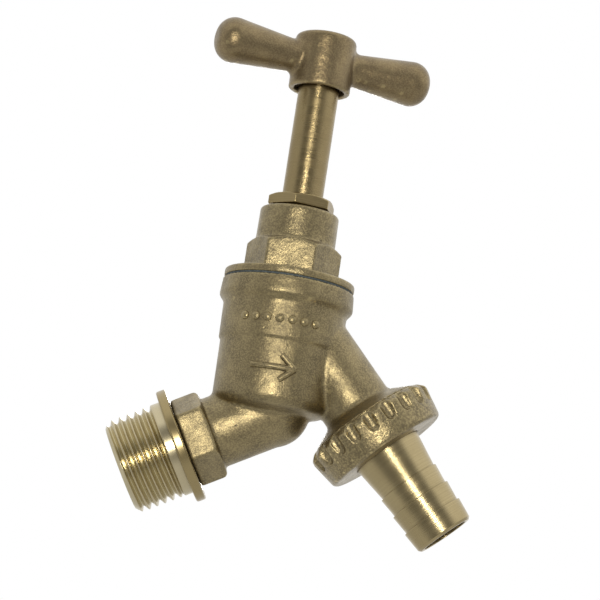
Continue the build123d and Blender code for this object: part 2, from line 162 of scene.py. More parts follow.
def turned(name, points, segments, closed=True):
    # revolves a profile about local Z
    line = roundedProfile(points, closed)
    shape = bmesh.new()
    rings = []
    for segment in range(segments):
        angle = 2 * math.pi * segment / segments
        acrossX, acrossY = math.cos(angle), math.sin(angle)
        rings.append([shape.verts.new((point.x * acrossX, point.x * acrossY, point.y)) for point in line])
    steps = len(line) if closed else len(line) - 1
    for segment in range(segments):
        here, there = rings[segment], rings[(segment + 1) % segments]
        for step in range(steps):
            after = (step + 1) % len(line)
            shape.faces.new((here[step], there[step], there[after], here[after]))
    bmesh.ops.recalc_face_normals(shape, faces=shape.faces)
    mesh = bpy.data.meshes.new(name)
    shape.to_mesh(mesh)
    shape.free()
    mesh.shade_smooth()
    return mesh


def joinMeshes(name, meshes):
    # meshes in mm whose end rings meet become one closed mesh
    shape = bmesh.new()
    for mesh in meshes:
        shape.from_mesh(mesh)
    bmesh.ops.remove_doubles(shape, verts=shape.verts, dist=mergeReach)
    bmesh.ops.recalc_face_normals(shape, faces=shape.faces)
    joined = bpy.data.meshes.new(name)
    shape.to_mesh(joined)
    shape.free()
    joined.shade_smooth()
    return joined


def coat(mesh, material):
    mesh.materials.clear()
    mesh.materials.append(material)


# nodes
valueType = "NodeSocketFloat"
vectorType = "NodeSocketVector"
countType = "NodeSocketInt"
materialType = "NodeSocketMaterial"
mixSockets = dict(amount=0, first=6, second=7, mixed=2)  # a Mix node's colour sockets share their names


def addNode(tree, kind, inputs=None, **settings):
    # a node with its settings, and inputs given as a value or as the socket that feeds them
    node = tree.nodes.new(kind)
    for key, value in settings.items():
        setattr(node, key, value)
    for key, value in (inputs or {}).items():
        if isinstance(value, bpy.types.NodeSocket):
            tree.links.new(value, node.inputs[key])
        else:
            node.inputs[key].default_value = value
    return node


def sums(tree, operation, first, second=0.0, third=None):
    inputs = {0: first, 1: second}
    if third is not None:
        inputs[2] = third
    return addNode(tree, "ShaderNodeMath", inputs, operation=operation).outputs[0]


def ramp(tree, value, low, high, toLow=0.0, toHigh=1.0):
    inputs = {"Value": value, "From Min": low, "From Max": high, "To Min": toLow, "To Max": toHigh}
    return addNode(tree, "ShaderNodeMapRange", inputs, interpolation_type="SMOOTHSTEP").outputs["Result"]


def share(tree, mask, most):
    # a mask from 0 to 1, eased and brought down to the most that it may show
    return ramp(tree, mask, 0, 1, 0.0, most)


def noise(tree, place, scale, detail, roughness=0.5):
    inputs = {"Vector": place, "Scale": scale, "Detail": detail, "Roughness": roughness}
    return addNode(tree, "ShaderNodeTexNoise", inputs).outputs["Fac"]


def lineNoise(tree, along, scale, detail, roughness=0.5):
    inputs = {"W": along, "Scale": scale, "Detail": detail, "Roughness": roughness}
    return addNode(tree, "ShaderNodeTexNoise", inputs, noise_dimensions="1D").outputs["Fac"]


def mixColour(tree, amount, first, second):
    inputs = {mixSockets["amount"]: amount, mixSockets["first"]: first, mixSockets["second"]: second}
    return addNode(tree, "ShaderNodeMix", inputs, data_type="RGBA").outputs[mixSockets["mixed"]]


def separate(tree, vector):
    return addNode(tree, "ShaderNodeSeparateXYZ", {0: vector}).outputs


def combine(tree, x=0.0, y=0.0, z=0.0):
    return addNode(tree, "ShaderNodeCombineXYZ", {0: x, 1: y, 2: z}).outputs[0]


def newGroup(name, kind, inputs, outputs):
    tree = bpy.data.node_groups.new(name, kind)
    for label, socketType, value in inputs:
        socket = tree.interface.new_socket(name=label, in_out="INPUT", socket_type=socketType)
        if value is not None:
            socket.default_value = value
    for label, socketType in outputs:
        tree.interface.new_socket(name=label, in_out="OUTPUT", socket_type=socketType)
    given = tree.nodes.new("NodeGroupInput").outputs
    result = tree.nodes.new("NodeGroupOutput").inputs
    return tree, given, result


def placeGroup(tree, group, inputs=None):
    return addNode(tree, "ShaderNodeGroup", inputs, node_tree=group).outputs


# effects that several finishes share
skinDetail = dict(
    fineDetail=3.0,
    fineRoughness=0.62,
    cloudDetail=4.0,
    cloudRoughness=0.6,
    swellScale=0.9,
    swellHeight=0.9,
    waveScale=0.28,
    waveHeight=3.5,
    evenDetail=1.0,
    pitRange=(0.07, 0.02),
    pitDepth=1.2,
    cloudRange=(0.25, 0.75),
    speckleRange=(0.38, 0.66),
)


def makeCastSkin():
    # blasted skin of a brass casting: fine sparkle, cloudy colour and a few pits
    tree, given, result = newGroup(
        "castSkin",
        "ShaderNodeTree",
        [
            ("Vector", vectorType, None),
            ("Grain", valueType, 3.0),
            ("Clouds", valueType, 0.22),
            ("Pits", valueType, 0.2),
        ],
        [("Cloud", valueType), ("Speckle", valueType), ("Pit", valueType), ("Height", valueType)],
    )
    place = given["Vector"]
    fine = noise(tree, place, given["Grain"], skinDetail["fineDetail"], skinDetail["fineRoughness"])
    clouds = noise(tree, place, given["Clouds"], skinDetail["cloudDetail"], skinDetail["cloudRoughness"])
    swell = noise(tree, place, skinDetail["swellScale"], skinDetail["evenDetail"])
    waves = noise(tree, place, skinDetail["waveScale"], skinDetail["evenDetail"])
    pitField = addNode(tree, "ShaderNodeTexVoronoi", {"Vector": place, "Scale": given["Pits"]})
    pit = ramp(tree, pitField.outputs["Distance"], *skinDetail["pitRange"])
    swollen = sums(tree, "MULTIPLY", swell, skinDetail["swellHeight"])
    uneven = sums(tree, "MULTIPLY_ADD", waves, skinDetail["waveHeight"], swollen)
    grainHeight = sums(tree, "ADD", uneven, fine)
    pittedHeight = sums(tree, "MULTIPLY_ADD", pit, -skinDetail["pitDepth"], grainHeight)
    tree.links.new(ramp(tree, clouds, *skinDetail["cloudRange"]), result["Cloud"])
    tree.links.new(ramp(tree, fine, *skinDetail["speckleRange"]), result["Speckle"])
    tree.links.new(pit, result["Pit"])
    tree.links.new(pittedHeight, result["Height"])
    return tree


# ambient occlusion settings for the painted shade in corners and creases
shadeDetail = dict(samples=8, shadeRange=(0.92, 0.35))


def makeEdgeWear():
    # rubbed edges, partly a painted highlight, and painted shade darkening corners and creases
    tree, given, result = newGroup(
        "wearSheenAndShade",
        "ShaderNodeTree",
        [("Reach", valueType, 0.0014), ("Edge Low", valueType, 0.505), ("Edge High", valueType, 0.56)],
        [("Edge", valueType), ("Painted Shade", valueType)],
    )
    pointiness = addNode(tree, "ShaderNodeNewGeometry").outputs["Pointiness"]
    samples = shadeDetail["samples"]
    # ambient occlusion marks the corners and creases that get painted shade
    nearby = addNode(tree, "ShaderNodeAmbientOcclusion", {"Distance": given["Reach"]}, samples=samples)
    openness = nearby.outputs["AO"]
    tree.links.new(ramp(tree, pointiness, given["Edge Low"], given["Edge High"]), result["Edge"])
    tree.links.new(ramp(tree, openness, *shadeDetail["shadeRange"]), result["Painted Shade"])
    return tree


latheDetail = dict(
    ringScale=1.0,
    ringDetail=3.0,
    ringRoughness=0.7,
    bandScale=0.5,
    bandDetail=2.0,
    contrastRange=(0.35, 0.65),
)


def makeToolRings():
    # fine rings left by the lathe tool, around local Z in millimetres
    tree, given, result = newGroup(
        "toolRings",
        "ShaderNodeTree",
        [("Vector", vectorType, None), ("Rings", valueType, 9.0)],
        [("Ring", valueType), ("Band", valueType), ("Height", valueType)],
    )
    along = separate(tree, given["Vector"])["Z"]
    ringPlace = sums(tree, "MULTIPLY", along, given["Rings"])
    ringNoise = lineNoise(
        tree, ringPlace, latheDetail["ringScale"], latheDetail["ringDetail"], latheDetail["ringRoughness"]
    )
    bandNoise = lineNoise(tree, along, latheDetail["bandScale"], latheDetail["bandDetail"])
    tree.links.new(ramp(tree, ringNoise, *latheDetail["contrastRange"]), result["Ring"])
    tree.links.new(ramp(tree, bandNoise, *latheDetail["contrastRange"]), result["Band"])
    tree.links.new(ringNoise, result["Height"])
    return tree


castSkin = makeCastSkin()
wearSheenAndShade = makeEdgeWear()
toolRings = makeToolRings()


# finishes
def startMaterial(name, surface):
    material = bpy.data.materials.new(name)
    material.use_nodes = True
    tree = material.node_tree
    shader = tree.nodes["Principled BSDF"]
    for socket, value in surface.items():
        shader.inputs[socket].default_value = value
    return material, tree, shader


def objectPlace(tree, axis=None):
    # object coordinates in millimetres; with an axis given, it becomes local Z
    place = addNode(tree, "ShaderNodeTexCoord").outputs["Object"]
    settings = {"Vector": place, "Scale": (1 / mm, 1 / mm, 1 / mm)}
    if axis:
        turn = -math.atan2(axis.x, axis.z)
        start = Matrix.Rotation(turn, 3, "Y") @ axisFoot[axis.to_tuple(3)] / mm
        settings.update({"Rotation": (0, turn, 0), "Location": -start})
    return addNode(tree, "ShaderNodeMapping", settings).outputs["Vector"]


def roughen(tree, shader, roughness, height, relief, bumpDepth):
    # the last links of each finish on the tap: how dull it is, and its relief
    tree.links.new(roughness, shader.inputs["Roughness"])
    bumps = {"Height": height, "Strength": relief, "Distance": bumpDepth * mm}
    bump = addNode(tree, "ShaderNodeBump", bumps)
    tree.links.new(bump.outputs["Normal"], shader.inputs["Normal"])


brassFinish = dict(
    bodyLight=(0.29, 0.228, 0.116, 1),
    bodyDark=(0.17, 0.134, 0.071, 1),
    handleLight=(0.268, 0.197, 0.099, 1),
    handleDark=(0.184, 0.133, 0.068, 1),
    # corner: the painted shade colour for corners and creases, also used to darken pits
    corner=(0.1, 0.074, 0.038, 1),
    # wornAndSheen: rubbed golden brass for speckles and edges, on edges partly a painted highlight
    wornAndSheen=(0.58, 0.47, 0.23, 1),
    # turnedShade: painted shade colour for the turned parts' corners and creases
    turnedShade=(0.09, 0.065, 0.03, 1),
    turnedLight=(0.53, 0.435, 0.242, 1),
    turnedDark=(0.39, 0.31, 0.162, 1),
    crestLight=(0.64, 0.56, 0.37, 1),
    crestDark=(0.53, 0.455, 0.285, 1),
    groove=(0.62, 0.55, 0.36, 1),
    tarnishLight=(0.385, 0.304, 0.152, 1),
    tarnishDark=(0.28, 0.212, 0.108, 1),
)
steelFinish = dict(light=(0.55, 0.55, 0.56, 1), dark=(0.36, 0.36, 0.37, 1))

castLook = dict(
    grain=3.0,
    rough=(0.34, 0.48),
    relief=0.7,
    bumpDepth=0.08,
    speckle=0.4,
    # edge: share of the rubbed colour on edges, partly a painted highlight
    edge=0.4,
    # cornerShade: share of painted shade in corners and creases; pits take the same dark colour
    cornerShade=0.7,
    pitDarkening=0.5,
    cornerDull=0.15,
    coatWeight=0.5,
    coatRoughness=0.5,
    seamRange=(0.45, 0.1),
    seamHeight=0.9,
)


def castBrass(name, light, dark, partingLine=False, **changes):
    look = {**castLook, **changes}
    surface = {"Metallic": 1.0, "Coat Weight": look["coatWeight"], "Coat Roughness": look["coatRoughness"]}
    material, tree, shader = startMaterial(name, surface)
    place = objectPlace(tree)
    skin = placeGroup(tree, castSkin, {"Vector": place, "Grain": look["grain"]})
    edgeAndShadeMasks = placeGroup(tree, wearSheenAndShade)
    cloudy = mixColour(tree, skin["Cloud"], dark, light)
    speckled = mixColour(tree, share(tree, skin["Speckle"], look["speckle"]), cloudy, brassFinish["wornAndSheen"])
    # edges take the rubbed colour: real wear, partly a painted highlight
    rubbedAndSheen = mixColour(tree, share(tree, edgeAndShadeMasks["Edge"], look["edge"]), speckled, brassFinish["wornAndSheen"])
    # painted shade darkens corners and creases, and pits take the same dark colour
    shaded = mixColour(tree, share(tree, edgeAndShadeMasks["Painted Shade"], look["cornerShade"]), rubbedAndSheen, brassFinish["corner"])
    pitted = mixColour(tree, share(tree, skin["Pit"], look["pitDarkening"]), shaded, brassFinish["corner"])
    tree.links.new(pitted, shader.inputs["Base Color"])
    smoothest, roughest = look["rough"]
    dull = ramp(tree, skin["Cloud"], 0, 1, roughest, smoothest)
    duller = sums(tree, "MULTIPLY_ADD", edgeAndShadeMasks["Painted Shade"], look["cornerDull"], dull)
    height = skin["Height"]
    if partingLine:  # faint seam where the two halves of the mould met
        fromSeam = sums(tree, "ABSOLUTE", separate(tree, place)["Y"])
        seam = ramp(tree, fromSeam, *look["seamRange"])
        height = sums(tree, "MULTIPLY_ADD", seam, look["seamHeight"], height)
    roughen(tree, shader, duller, height, look["relief"], look["bumpDepth"])
    return material


turnedLook = dict(
    rings=9.0,
    relief=0.3,
    bumpDepth=0.05,
    ringContrast=0.5,
    grain=1.4,
    clouds=0.12,
    stain=0.25,
    reach=0.0012,
    # grime: how much painted shade darkens corners and creases
    grime=0.5,
    edge=0.0,
    bandDull=0.05,
)
inletRadii = dict(groove=9.3, crest=10.3, rimStart=10.7, rim=10.9)


def grooveAndRim(tree, place, colour):
    # the thread's freshly cut grooves are brighter than its rubbed crests, and the flange is tarnished
    flattened = addNode(tree, "ShaderNodeVectorMath", {0: place, 1: (1, 1, 0)}, operation="MULTIPLY")
    fromAxis = addNode(tree, "ShaderNodeVectorMath", {0: flattened.outputs["Vector"]}, operation="LENGTH")
    radius = fromAxis.outputs["Value"]
    inGroove = ramp(tree, radius, inletRadii["crest"], inletRadii["groove"])
    onRim = ramp(tree, radius, inletRadii["rimStart"], inletRadii["rim"])
    grooved = mixColour(tree, inGroove, colour, brassFinish["groove"])
    return mixColour(tree, onRim, grooved, brassFinish["tarnishLight"])


def turnedMetal(name, axis, light, dark, rough, threaded=False, **changes):
    look = {**turnedLook, **changes}
    material, tree, shader = startMaterial(name, {"Metallic": 1.0})
    place = objectPlace(tree, axis)
    marks = placeGroup(tree, toolRings, {"Vector": place, "Rings": look["rings"]})
    skin = placeGroup(tree, castSkin, {"Vector": place, "Grain": look["grain"], "Clouds": look["clouds"]})
    edgeAndShadeMasks = placeGroup(tree, wearSheenAndShade, {"Reach": look["reach"]})
    leastLight, mostLight = 0.5 - look["ringContrast"] / 2, 0.5 + look["ringContrast"] / 2
    banded = mixColour(tree, ramp(tree, marks["Ring"], 0, 1, leastLight, mostLight), dark, light)
    clouded = mixColour(tree, ramp(tree, skin["Cloud"], 0, 1, look["stain"], 0.0), banded, dark)
    # painted shade darkens corners and creases
    shaded = mixColour(tree, share(tree, edgeAndShadeMasks["Painted Shade"], look["grime"]), clouded, brassFinish["turnedShade"])
    # edges take the rubbed colour: real wear, partly a painted highlight
    colour = mixColour(tree, share(tree, edgeAndShadeMasks["Edge"], look["edge"]), shaded, brassFinish["wornAndSheen"])
    if threaded:
        colour = grooveAndRim(tree, place, colour)
    tree.links.new(colour, shader.inputs["Base Color"])
    smoothest, roughest = rough
    dull = ramp(tree, skin["Cloud"], 0, 1, roughest, smoothest)
    duller = sums(tree, "MULTIPLY_ADD", marks["Band"], look["bandDull"], dull)
    roughen(tree, shader, duller, marks["Height"], look["relief"], look["bumpDepth"])
    return material


fibreLook = dict(
    scale=2.2,
    detail=5.0,
    roughness=0.7,
    fleckRange=(0.4, 0.65),
    dullRange=(0.3, 0.7),
    dullSpread=0.1,
    relief=0.4,
    bumpDepth=0.05,
)
softColours = dict(
    fibre=(0.05, 0.062, 0.062, 1),
    fibreFleck=(0.1, 0.118, 0.118, 1),
    rubber=(0.02, 0.02, 0.021, 1),
    rubberFleck=(0.035, 0.034, 0.033, 1),
    yarn=(0.3, 0.27, 0.2, 1),
    yarnFleck=(0.5, 0.46, 0.36, 1),
)


def fibreSheet(name, colour, fleck, rough):
    material, tree, shader = startMaterial(name, {})
    place = objectPlace(tree)
    threads = noise(tree, place, fibreLook["scale"], fibreLook["detail"], fibreLook["roughness"])
    flecked = mixColour(tree, ramp(tree, threads, *fibreLook["fleckRange"]), colour, fleck)
    tree.links.new(flecked, shader.inputs["Base Color"])
    dull = ramp(tree, threads, *fibreLook["dullRange"], rough - fibreLook["dullSpread"], rough)
    roughen(tree, shader, dull, threads, fibreLook["relief"], fibreLook["bumpDepth"])
    return material


bodyColours = (brassFinish["bodyLight"], brassFinish["bodyDark"])
handleColours = (brassFinish["handleLight"], brassFinish["handleDark"])
crestColours = (brassFinish["crestLight"], brassFinish["crestDark"])
tarnishColours = (brassFinish["tarnishLight"], brassFinish["tarnishDark"])
turnedColours = (brassFinish["turnedLight"], brassFinish["turnedDark"])
steelColours = (steelFinish["light"], steelFinish["dark"])
bodyBrass = castBrass("bodyBrass", *bodyColours, partingLine=True)
stampedBrass = castBrass("stampedBrass", *bodyColours, grain=2.6, rough=(0.33, 0.44), relief=0.85)
# the large edge share paints a highlight on the nut's edges, beside real rubbing
nutBrass = castBrass(
    "nutBrass", *bodyColours, grain=2.4, rough=(0.29, 0.39), relief=1.0, speckle=0.5, edge=0.9
)
handleBrass = castBrass("handleBrass", *handleColours, rough=(0.32, 0.42), speckle=0.22)
inletBrass = turnedMetal(
    "inletBrass", inletAxis, *crestColours, rough=(0.2, 0.26), threaded=True, relief=0.05, grime=0.3
)
# the edge share paints a highlight on the gland nut's facet edges, beside real rubbing
glandBrass = turnedMetal(
    "glandBrass", spindleAxis, *tarnishColours, rough=(0.28, 0.38), rings=6.0, grime=0.1, edge=0.8
)
spindleBrass = turnedMetal(
    "spindleBrass", spindleAxis, *tarnishColours, rough=(0.21, 0.27),
    relief=0.4, grime=0.3, ringContrast=0.3, stain=0.4,
)
outletBrass = turnedMetal(
    "outletBrass", outletAxis, *turnedColours, rough=(0.17, 0.25),
    rings=5.0, relief=0.25, ringContrast=0.4, stain=0.65,
)
plainSteel = turnedMetal("plainSteel", spindleAxis, *steelColours, rough=(0.25, 0.38), rings=12.0)
blueFibre = fibreSheet("blueFibre", softColours["fibre"], softColours["fibreFleck"], rough=0.75)
blackRubber = fibreSheet("blackRubber", softColours["rubber"], softColours["rubberFleck"], rough=0.6)
yarn = fibreSheet("yarn", softColours["yarn"], softColours["yarnFleck"], rough=0.85)
print("finishes made")


# node trees that make shapes
def endTree(tree, geometry, given, result):
    real = addNode(tree, "GeometryNodeRealizeInstances", {"Geometry": geometry}).outputs["Geometry"]
    coated = addNode(tree, "GeometryNodeSetMaterial", {"Geometry": real, "Material": given["Material"]})
    tree.links.new(coated.outputs["Geometry"], result["Geometry"])


def grow(name, tree, inputs):
    # runs a node tree and keeps the result as a plain mesh
    piece = newPiece(name, bpy.data.meshes.new(name))
    modifier = piece.modifiers.new(tree.name, "NODES")
    modifier.node_group = tree
    for item in tree.interface.items_tree:
        if item.in_out == "INPUT" and item.name in inputs:
            modifier[item.identifier] = inputs[item.name]
    return settle(piece)


threadForm = dict(
    seamReach=0.001,
    runOut=0.8,  # the groove fades out over this length
    endGap=0.05,  # the chamfered end starts this far under the groove's floor
)


def makeScrewThread():
    # a wall wrapped into a tube and cut by a helix, one end chamfered, the other run out to a plain shank
    tree, given, result = newGroup(
        "screwThread",
        "GeometryNodeTree",
        [
            ("Crest Radius", valueType, 10.0),
            ("Depth", valueType, 1.16),
            ("Pitch", valueType, 1.814),
            ("Length", valueType, 10.0),
            ("Shank", valueType, 1.0),
            ("Segments", countType, 128),
            ("Rings", countType, 100),
            ("Material", materialType, None),
        ],
        [("Geometry", "NodeSocketGeometry")],
    )
    columns = sums(tree, "ADD", given["Segments"], 1.0)
    gridSizes = {"Vertices X": columns, "Vertices Y": given["Rings"]}
    wall = addNode(tree, "GeometryNodeMeshGrid", gridSizes).outputs["Mesh"]
    gridPlace = separate(tree, addNode(tree, "GeometryNodeInputPosition").outputs[0])
    turnShare = sums(tree, "ADD", gridPlace["X"], 0.5)
    level = sums(tree, "MULTIPLY", sums(tree, "ADD", gridPlace["Y"], 0.5), given["Length"])
    turnsUp = sums(tree, "SUBTRACT", sums(tree, "DIVIDE", level, given["Pitch"]), turnShare)
    helix = sums(tree, "FRACT", turnsUp)
    ridge = sums(tree, "ABSOLUTE", sums(tree, "MULTIPLY_ADD", helix, 2.0, -1.0))
    groove = ramp(tree, ridge, 1.0, 0.0)
    shankStart = sums(tree, "SUBTRACT", given["Length"], given["Shank"])
    runOutStart = sums(tree, "SUBTRACT", shankStart, threadForm["runOut"])
    runOut = ramp(tree, level, runOutStart, shankStart, 1.0, 0.0)
    cut = sums(tree, "MULTIPLY", sums(tree, "MULTIPLY", groove, runOut), given["Depth"])
    threadRadius = sums(tree, "SUBTRACT", given["Crest Radius"], cut)
    floorRadius = sums(tree, "SUBTRACT", given["Crest Radius"], given["Depth"])
    endRadius = sums(tree, "SUBTRACT", floorRadius, threadForm["endGap"])
    chamfered = sums(tree, "MINIMUM", threadRadius, sums(tree, "ADD", endRadius, level))
    angle = sums(tree, "MULTIPLY", turnShare, 2 * math.pi)
    acrossX = sums(tree, "MULTIPLY", chamfered, sums(tree, "COSINE", angle))
    acrossY = sums(tree, "MULTIPLY", chamfered, sums(tree, "SINE", angle))
    onHelix = combine(tree, acrossX, acrossY, level)
    wrapped = addNode(tree, "GeometryNodeSetPosition", {"Geometry": wall, "Position": onHelix})
    seam = {"Geometry": wrapped.outputs["Geometry"], "Distance": threadForm["seamReach"]}
    merged = addNode(tree, "GeometryNodeMergeByDistance", seam).outputs["Geometry"]
    endTree(tree, merged, given, result)
    return tree


screwThread = makeScrewThread()


def threadedStem(name, thread, length, outline, material, place):
    # the helix and the turned outline that closes it share their end rings
    threadSizes = {
        "Crest Radius": thread["crest"],
        "Depth": thread["depth"],
        "Pitch": thread["pitch"],
        "Length": length,
        "Shank": thread["shank"],
        "Segments": thread["segments"],
        "Rings": thread["rings"],
        "Material": material,
    }
    helixPart = grow(name + "Helix", screwThread, threadSizes)
    rest = turned(name + "Rest", outline, thread["segments"], closed=False)
    mesh = joinMeshes(name, [helixPart.data, rest])
    bpy.data.objects.remove(helixPart)
    mesh.transform(place)
    return newPiece(name, mesh)


def chamferFoot(thread):
    # the radius at which the chamfered end starts
    return thread["crest"] - thread["depth"] - threadForm["endGap"]


inletThread = dict(
    endLevel=-12.85,
    crest=10.4775,
    depth=1.162,
    pitch=1.814,
    shank=1.75,
    segments=160,
    rings=210,
    boreRadius=6.0,
    boreChamfer=0.8,
    boreRounding=0.1,
    flangeRadius=12.7,
    flangeThickness=2.1,
    flangeRounding=0.4,
)
inletLength = -inletThread["endLevel"]
inletBack = inletLength + inletThread["flangeThickness"]
inletMouth = inletThread["boreRadius"] + inletThread["boreChamfer"]
inletStem = threadedStem(
    "inletStem",
    inletThread,
    inletLength,
    [
        (inletThread["crest"], inletLength),
        (inletThread["flangeRadius"], inletLength, inletThread["flangeRounding"]),
        (inletThread["flangeRadius"], inletBack, inletThread["flangeRounding"]),
        (inletThread["boreRadius"], inletBack),
        (inletThread["boreRadius"], inletThread["boreChamfer"], inletThread["boreRounding"]),
        (inletMouth, 0, inletThread["boreRounding"]),
        (chamferFoot(inletThread), 0),
    ],
    inletBrass,
    placeAlong(inletAxis, Vector(), inletThread["endLevel"]),
)
reportPiece("inlet thread", inletStem)

outletThread = dict(
    startLevel=31.03,
    crest=13.2205,
    depth=1.162,
    pitch=1.814,
    shank=0.3,
    segments=160,
    rings=70,
    mouthRadius=8.0,
    mouthDepth=2.6,
    mouthRounding=0.2,
    throatRadius=6.4,
)
outletLength = outletEndLevel - outletThread["startLevel"]
outletStem = threadedStem(
    "outletStem",
    outletThread,
    outletLength,
    [
        (outletThread["crest"], outletLength),
        (outletThread["throatRadius"], outletLength),
        (outletThread["mouthRadius"], outletThread["mouthDepth"]),
        (outletThread["mouthRadius"], 0, outletThread["mouthRounding"]),
        (chamferFoot(outletThread), 0),
    ],
    outletBrass,
    placeAlong(-outletAxis, outletEnd),
)
reportPiece("outlet thread", outletStem)

# castings and stampings: even skins over the solids' own shapes
castBody = dict(grid=0.35, rounds=3, inletCut=2.12)
bodyCasting = cadCopy("tap_body", "bodyCasting")
cutOff(bodyCasting, inletAxis * castBody["inletCut"] * mm, -inletAxis)
cutOff(bodyCasting, outletRoot + outletAxis * outletThread["startLevel"] * mm, outletAxis)
soften(bodyCasting, castBody["grid"], castBody["rounds"])
reportPiece("body casting", bodyCasting)

bonnetSkin = dict(grid=0.24, rounds=4)
bonnetShell = soften(cadCopy("bonnet", "bonnetShell"), **bonnetSkin)
reportPiece("bonnet", bonnetShell)

glandSkin = dict(grid=0.13, rounds=2)
glandCap = soften(cadCopy("gland_nut", "glandCap"), **glandSkin)
reportPiece("gland nut", glandCap)

handleSkin = dict(grid=0.3, rounds=6)
teeCasting = soften(cadCopy("tee_handle", "teeCasting"), **handleSkin)
reportPiece("handle", teeCasting)

nutSkin = dict(grid=0.2, rounds=4)
gripNut = soften(cadCopy("union_nut", "gripNut"), **nutSkin)
reportPiece("union nut", gripNut)

# hose tail: barbs are one run repeated
hoseTail = dict(
    flangeRadius=11.9,
    flangeStart=36.4,
    flangeEnd=37.8,
    shankRadius=7.7,
    shankEnd=39.3,
    waistRadius=6.65,
    firstBarb=47.4,
    barbPitch=4.45,
    barbCount=3,
    barbRadius=7.05,
    barbWaist=6.6,
    endLevel=61.2,
    endRadius=6.65,
    endChamfer=0.5,
    boreRadius=5.3,
    segments=160,
    barbRounding=0.07,
    chamferRounding=0.15,
    edgeRounding=0.1,
)
crisp = hoseTail["barbRounding"]
eased = hoseTail["edgeRounding"]
tailProfile = [
    (hoseTail["boreRadius"], hoseTail["flangeStart"], eased),
    (hoseTail["flangeRadius"], hoseTail["flangeStart"], eased),
    (hoseTail["flangeRadius"], hoseTail["flangeEnd"], eased),
    (hoseTail["shankRadius"], hoseTail["flangeEnd"], eased),
    (hoseTail["shankRadius"], hoseTail["shankEnd"], eased),
    (hoseTail["waistRadius"], hoseTail["firstBarb"], crisp),
]
for barb in range(hoseTail["barbCount"] - 1):
    barbLevel = hoseTail["firstBarb"] + barb * hoseTail["barbPitch"]
    tailProfile.append((hoseTail["barbRadius"], barbLevel, crisp))
    tailProfile.append((hoseTail["barbWaist"], barbLevel + hoseTail["barbPitch"], crisp))
lastBarb = hoseTail["firstBarb"] + (hoseTail["barbCount"] - 1) * hoseTail["barbPitch"]
tailProfile += [
    (hoseTail["barbRadius"], lastBarb, crisp),
    (hoseTail["endRadius"], hoseTail["endLevel"] - hoseTail["endChamfer"], hoseTail["chamferRounding"]),
    (hoseTail["endRadius"] - hoseTail["endChamfer"], hoseTail["endLevel"], eased),
    (hoseTail["boreRadius"], hoseTail["endLevel"], eased),
]
tailMesh = turned("tailPiece", tailProfile, hoseTail["segments"])
tailMesh.transform(placeAlong(outletAxis, outletRoot))
tailPiece = newPiece("tailPiece", tailMesh)
reportPiece("hose tail", tailPiece)

# raised flow arrow on the lower half of the barrel
flowArrow = dict(
    level=7.9,
    length=9.6,
    headLength=3.2,
    headHalf=2.7,
    strokeRadius=0.68,
    strokeSteps=24,
    strokeSides=20,
    barrelRadius=12.95,
    grid=0.09,
    rounds=4,
)


def makeArrowStrokes():
    # three rounded strokes that follow the barrel's curve
    tree, given, result = newGroup(
        "arrowStrokes",
        "GeometryNodeTree",
        [
            ("Length", valueType, 10.0),
            ("Head Length", valueType, 3.0),
            ("Head Half", valueType, 2.5),
            ("Stroke Radius", valueType, 0.6),
            ("Barrel Radius", valueType, 13.0),
            ("Material", materialType, None),
        ],
        [("Geometry", "NodeSocketGeometry")],
    )
    tipAlong = sums(tree, "MULTIPLY", given["Length"], 0.5)
    tailAlong = sums(tree, "MULTIPLY", tipAlong, -1.0)
    headAlong = sums(tree, "SUBTRACT", tipAlong, given["Head Length"])
    otherHalf = sums(tree, "MULTIPLY", given["Head Half"], -1.0)
    tip = combine(tree, tipAlong)
    strokes = addNode(tree, "GeometryNodeJoinGeometry")
    for along, aside in ((tailAlong, 0.0), (headAlong, given["Head Half"]), (headAlong, otherHalf)):
        ends = {"Start": combine(tree, along, 0.0, aside), "End": tip}
        stroke = addNode(tree, "GeometryNodeCurvePrimitiveLine", ends).outputs["Curve"]
        tree.links.new(stroke, strokes.inputs[0])
    steps = {"Curve": strokes.outputs[0], "Count": flowArrow["strokeSteps"]}
    stepped = addNode(tree, "GeometryNodeResampleCurve", steps).outputs["Curve"]
    strokePlace = separate(tree, addNode(tree, "GeometryNodeInputPosition").outputs[0])
    aroundBarrel = sums(tree, "DIVIDE", strokePlace["X"], given["Barrel Radius"])
    downstream = sums(tree, "MULTIPLY", given["Barrel Radius"], -1.0)  # the flow goes to local -X
    acrossX = sums(tree, "MULTIPLY", sums(tree, "SINE", aroundBarrel), downstream)
    acrossY = sums(tree, "MULTIPLY", sums(tree, "COSINE", aroundBarrel), given["Barrel Radius"])
    onBarrel = combine(tree, acrossX, acrossY, strokePlace["Z"])
    laid = addNode(tree, "GeometryNodeSetPosition", {"Geometry": stepped, "Position": onBarrel})
    section = {"Resolution": flowArrow["strokeSides"], "Radius": given["Stroke Radius"]}
    roundBar = addNode(tree, "GeometryNodeCurvePrimitiveCircle", section).outputs["Curve"]
    sweep = {"Curve": laid.outputs["Geometry"], "Profile Curve": roundBar, "Fill Caps": True}
    bars = addNode(tree, "GeometryNodeCurveToMesh", sweep).outputs["Mesh"]
    endTree(tree, bars, given, result)
    return tree


arrowMark = grow(
    "arrowMark",
    makeArrowStrokes(),
    {
        "Length": flowArrow["length"],
        "Head Length": flowArrow["headLength"],
        "Head Half": flowArrow["headHalf"],
        "Stroke Radius": flowArrow["strokeRadius"],
        "Barrel Radius": flowArrow["barrelRadius"],
        "Material": stampedBrass,
    },
)
arrowMark.data.transform(placeAlong(spindleAxis, spindleFoot, flowArrow["level"]))
soften(arrowMark, flowArrow["grid"], flowArrow["rounds"])
reportPiece("flow arrow", arrowMark)

# row of raised pips round the front of the upper band
bandPips = dict(
    level=18.4,
    count=7,
    step=11.5,
    bandRadius=13.5,
    pipRadius=0.95,
    proud=0.6,
    segments=24,
    rings=12,
)


